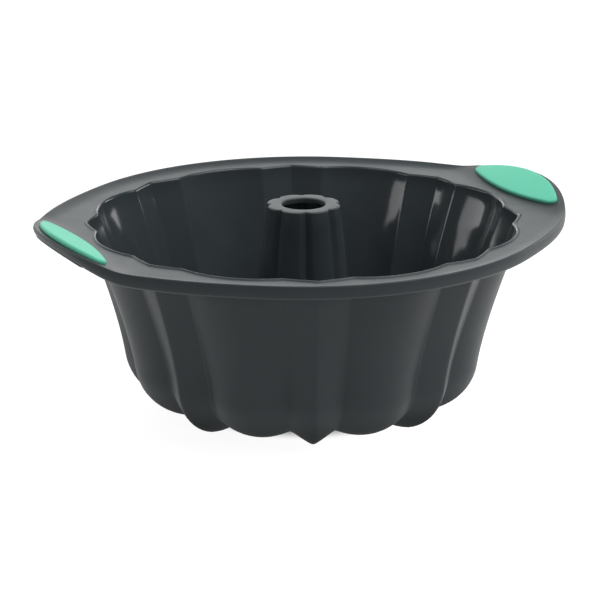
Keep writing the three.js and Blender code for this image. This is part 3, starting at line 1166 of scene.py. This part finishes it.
@dataclass
class FingerRest:
    """Low raised band under a wing, along its edge, for the fingers."""

    side: Side
    rim: Rim
    centre_x: float = 58.0 * MM
    radii: Pair = (86.0 * MM, 91.5 * MM)
    half_angle: float = 20.5
    height: float = 0.5 * MM
    sunk: float = 1.0 * MM
    edge_round: float = 0.2 * MM
    round_steps: int = 3
    sharp_angle: float = 50.0
    grid: tuple[int, int] = (6, 36)

    def drape(self, point: Vector) -> Vector:
        """Carries a point of the unit grid onto the wing's underside.

        Args:
            point: The point on the grid.

        Returns:
            Its place on the right wing.
        """
        swing = polar(self.half_angle * 2.0 * point.y, mix(*self.radii, point.x + 0.5), 0.0)
        swing.x += self.centre_x
        azimuth = math.degrees(math.atan2(swing.y, swing.x))
        return polar(azimuth, *self.rim.floor(azimuth, swing.length, self.sunk))

    def make(self, material: bpy.types.Material) -> bpy.types.Object:
        """Builds and dresses the band.

        Args:
            material: The grey silicone.

        Returns:
            The finished object.
        """
        deselect_all()
        across, along = self.grid
        bpy.ops.mesh.primitive_grid_add(x_subdivisions=across, y_subdivisions=along, size=1.0)
        piece = Workpiece.named(f"finger_rest_{self.side.label}")
        piece.reshape(self.drape)
        with piece.editing("FACE"):
            down = (0.0, 0.0, -self.sunk - self.height)
            bpy.ops.mesh.extrude_region_move(TRANSFORM_OT_translate={"value": down})
        piece.tidy()
        piece.apply(
            "BEVEL", width=self.edge_round, segments=self.round_steps,
            limit_method="ANGLE", angle_limit=math.radians(self.sharp_angle))
        piece.mesh.transform(self.side.turn)
        piece.tidy()
        return piece.finish(material, GREY_SLOT)


@dataclass
class Grip:
    """Lens-shaped green grip seated on a wing."""

    side: Side
    rim: Rim
    chord_x: float = 133.9 * MM
    half_chord: float = 47.3 * MM
    outer_bulge: float = 14.8 * MM
    inner_bulge: float = 6.9 * MM
    end_radius: float = 3.2 * MM
    height: float = 2.8 * MM
    bottom: float = -0.1 * MM
    edge_round: float = 1.2 * MM
    arch: float = 1.1 * MM
    crown: float = 0.2 * MM
    ring_scales: Sequence[float] = (0.88, 0.8, 0.7, 0.5, 0.2)
    side_steps: int = 48
    end_steps: int = 10
    round_steps: int = 5
    smooth_angle: float = 50.0
    level: float = 0.01 * MM
    upright: float = 0.99

    @staticmethod
    def arc(centre: Vector, radius: float, start: float, end: float, count: int) -> list[Vector]:
        """Points on an arc, without its last one."""
        turns = (mix(start, end, share) for share in shares(count))
        return [centre + radius * Vector((math.cos(turn), math.sin(turn))) for turn in turns]

    def outline(self) -> list[Vector]:
        """The lens in the plane of its wing: two long arcs joined by small round ends.

        Returns:
            The points in order.
        """
        outer_radius = (self.half_chord ** 2 + self.outer_bulge ** 2) / (2.0 * self.outer_bulge)
        inner_radius = (self.half_chord ** 2 + self.inner_bulge ** 2) / (2.0 * self.inner_bulge)
        outer_centre = Vector((self.outer_bulge - outer_radius, 0.0))
        inner_centre = Vector((inner_radius - self.inner_bulge, 0.0))
        outer_reach, inner_reach = outer_radius - self.end_radius, inner_radius - self.end_radius
        span = inner_centre.x - outer_centre.x
        along = (outer_reach ** 2 - inner_reach ** 2 + span ** 2) / (2.0 * span)
        end = Vector((outer_centre.x + along, math.sqrt(outer_reach ** 2 - along ** 2)))
        outer_turn = math.atan2(end.y, end.x - outer_centre.x)
        inner_turn = math.atan2(end.y, end.x - inner_centre.x)
        other_end, inner_back = Vector((end.x, -end.y)), 2.0 * math.pi - inner_turn
        return (self.arc(outer_centre, outer_radius, -outer_turn, outer_turn, self.side_steps)
                + self.arc(end, self.end_radius, outer_turn, inner_turn, self.end_steps)
                + self.arc(inner_centre, inner_radius, inner_turn, inner_back, self.side_steps)
                + self.arc(other_end, self.end_radius, -inner_turn, -outer_turn, self.end_steps))

    def round_edges(self, piece: Workpiece) -> None:
        """Rounds the upper and the lower edge of the block."""
        piece.pick_edges(lambda a, b: abs(a.z - b.z) < self.level)
        bpy.ops.mesh.bevel(offset=self.edge_round, segments=self.round_steps, profile=0.5, affect="EDGES")

    def crown_top(self, piece: Workpiece) -> None:
        """Swells the top in rings that shrink towards its middle.

        Args:
            piece: The block, in edit mode.
        """
        lowest = self.height - self.level
        piece.pick_faces(lambda face: face.center.z > lowest and face.normal.z > self.upright)
        size, lifted = 1.0, 0.0
        for scale in self.ring_scales:
            bpy.ops.mesh.inset(thickness=0.0)
            ratio = scale / size
            bpy.ops.transform.resize(value=(ratio, ratio, 1.0), center_override=(0.0, 0.0, 0.0))
            lift = self.crown * (1.0 - scale ** 2)
            bpy.ops.transform.translate(value=(0.0, 0.0, lift - lifted))
            size, lifted = scale, lift

    def seat(self, point: Vector) -> Vector:
        """Lowers a point of the block, the more the nearer it is to the grip's ends."""
        return Vector((point.x, point.y, point.z - self.arch * (point.y / self.half_chord) ** 2))

    def wing_plane(self) -> Matrix:
        """Place and tilt of the wing that carries the grip.

        Returns:
            The matrix that takes the flat grip there.
        """
        tilt = math.radians(self.rim.wing_tilt)
        rise = math.tan(tilt) * (self.chord_x - self.rim.fold_x)
        place = Matrix.Translation((self.chord_x, 0.0, self.rim.flange_height + rise))
        return self.side.turn @ place @ Matrix.Rotation(-tilt, 4, "Y")

    def make(self, material: bpy.types.Material) -> bpy.types.Object:
        """Builds and dresses the grip.

        Args:
            material: The green silicone.

        Returns:
            The finished object.
        """
        outline = [point.to_3d() + Vector((0.0, 0.0, self.bottom)) for point in self.outline()]
        piece = Workpiece.circle(f"handle_grip_{self.side.label}", outline, True)
        with piece.editing("FACE"):
            up = (0.0, 0.0, self.height - self.bottom)
            bpy.ops.mesh.extrude_region_move(TRANSFORM_OT_translate={"value": up})
            bpy.ops.mesh.normals_make_consistent(inside=False)
            bpy.ops.mesh.select_mode(type="EDGE")
            self.round_edges(piece)
            bpy.ops.mesh.select_mode(type="FACE")
            self.crown_top(piece)
        piece.reshape(self.seat)
        piece.mesh.transform(self.wing_plane())
        piece.tidy(self.smooth_angle)
        made = piece.finish(material, GREEN_SLOT)
        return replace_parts(made, f"grip_{self.side.label}")


# Studio


def aimed(aim: Vector, azimuth: float, elevation: float, distance: float, roll: float) -> Matrix:
    """Place and turn of a camera or a light that looks at a point.

    Args:
        aim: The point.
        azimuth: Where it stands round the point, from the front towards the right.
        elevation: How far it stands above the point's level, as an angle.
        distance: How far off it stands.
        roll: Its turn about its line of sight.

    Returns:
        Its matrix in the scene.
    """
    turn, rise = math.radians(azimuth), math.radians(elevation)
    back = Vector((math.sin(turn) * math.cos(rise), -math.cos(turn) * math.cos(rise), math.sin(rise)))
    facing = (-back).to_track_quat("-Z", "Y").to_matrix().to_4x4()
    spin = Matrix.Rotation(math.radians(roll), 4, "Z")
    return Matrix.Translation(aim + back * distance) @ facing @ spin


@dataclass(frozen=True)
class PhotoCamera:
    """The photograph's camera, aimed at a point in the middle of the picture."""

    azimuth: float = -25.89
    elevation: float = 17.39
    distance: float = 1316.8 * MM
    aside: float = -2.13 * MM
    aim_height: float = 57.05 * MM
    lens_mm: float = 142.35
    roll: float = -0.166
    near_clip: float = 50.0 * MM

    def make(self) -> bpy.types.Object:
        """Adds the camera and makes it the scene's own.

        Returns:
            The camera.
        """
        data = bpy.data.cameras.new("photo_camera")
        data.lens = self.lens_mm
        data.clip_start = self.near_clip
        camera = bpy.data.objects.new("photo_camera", data)
        bpy.context.scene.collection.objects.link(camera)
        aim = polar(self.azimuth, self.aside, self.aim_height)
        camera.matrix_world = aimed(aim, self.azimuth, self.elevation, self.distance, self.roll)
        bpy.context.scene.camera = camera
        return camera


@dataclass(frozen=True)
class Softbox:
    """A large soft light aimed at a point."""

    name: str
    azimuth: float
    elevation: float
    distance: float
    size: Pair
    power: float
    roll: float = 0.0
    aim: Vector = Vector((0.0, 0.0, 0.08))

    def make(self) -> bpy.types.Object:
        """Adds the light, turned to its aim.

        Returns:
            The light.
        """
        data = bpy.data.lights.new(self.name, "AREA")
        data.shape = "RECTANGLE"
        data.size, data.size_y = self.size
        data.energy = self.power
        light = bpy.data.objects.new(self.name, data)
        bpy.context.scene.collection.objects.link(light)
        light.matrix_world = aimed(self.aim, self.azimuth, self.elevation, self.distance, self.roll)
        return light


@dataclass
class Studio:
    """White paper, soft light and the camera."""

    paper_size: float = 14.0
    paper_gap: float = 0.05 * MM
    surround: float = 0.14
    lights: Sequence[Softbox] = (
        Softbox("key_box", 46.0, 60.0, 1.9, (1.7, 1.7), 59.0),
        Softbox("top_box", -106.0, 60.0, 1.9, (1.0, 1.0), 11.8),
        Softbox("left_box", -127.0, 15.5, 1.5, (1.0, 0.36), 6.5, roll=6.0),
        Softbox("right_box", 104.0, 8.0, 1.6, (0.6, 0.6), 6.2),
        Softbox("back_wall", 166.0, 18.5, 2.6, (3.4, 1.5), 37.5),
    )

    def lay_paper(self, material: bpy.types.Material) -> bpy.types.Object:
        """Lays the paper that the pan stands on.

        Args:
            material: The white paper.

        Returns:
            The paper.
        """
        deselect_all()
        bpy.ops.mesh.primitive_plane_add(size=self.paper_size, location=(0.0, 0.0, -self.paper_gap))
        paper = bpy.context.object
        paper.name = "studio_floor"
        paper.data.materials.append(material)
        return paper

    def light(self) -> None:
        """Sets the even surround and adds the softboxes."""
        world = bpy.data.worlds.new("white_surround")
        world.use_nodes = True
        background = world.node_tree.nodes["Background"]
        background.inputs["Color"].default_value = (1.0, 1.0, 1.0, 1.0)
        background.inputs["Strength"].default_value = self.surround
        bpy.context.scene.world = world
        for box in self.lights:
            box.make()

    def make(self) -> None:
        """Sets up the whole studio."""
        self.lay_paper(Paper().material())
        self.light()
        PhotoCamera().make()
        bpy.context.scene.view_settings.view_transform = "Standard"


def main() -> None:
    """Builds the pan's pieces in order, dresses the steel ring and sets up the studio."""
    logging.basicConfig(level=logging.INFO, format="%(message)s")
    grey, green = GREY.material(), GREEN.material()
    moulding = Moulding()
    moulding.make(grey)
    for side in Side:
        FingerRest(side, moulding.rim).make(grey)
        Grip(side, moulding.rim).make(green)
    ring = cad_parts["rim_wire"]
    ring.data.materials.clear()
    ring.data.materials.append(DrawnSteel().material())
    LOG.info("rim_wire: drawn steel")
    Studio().make()


if __name__ == "__main__":
    main()
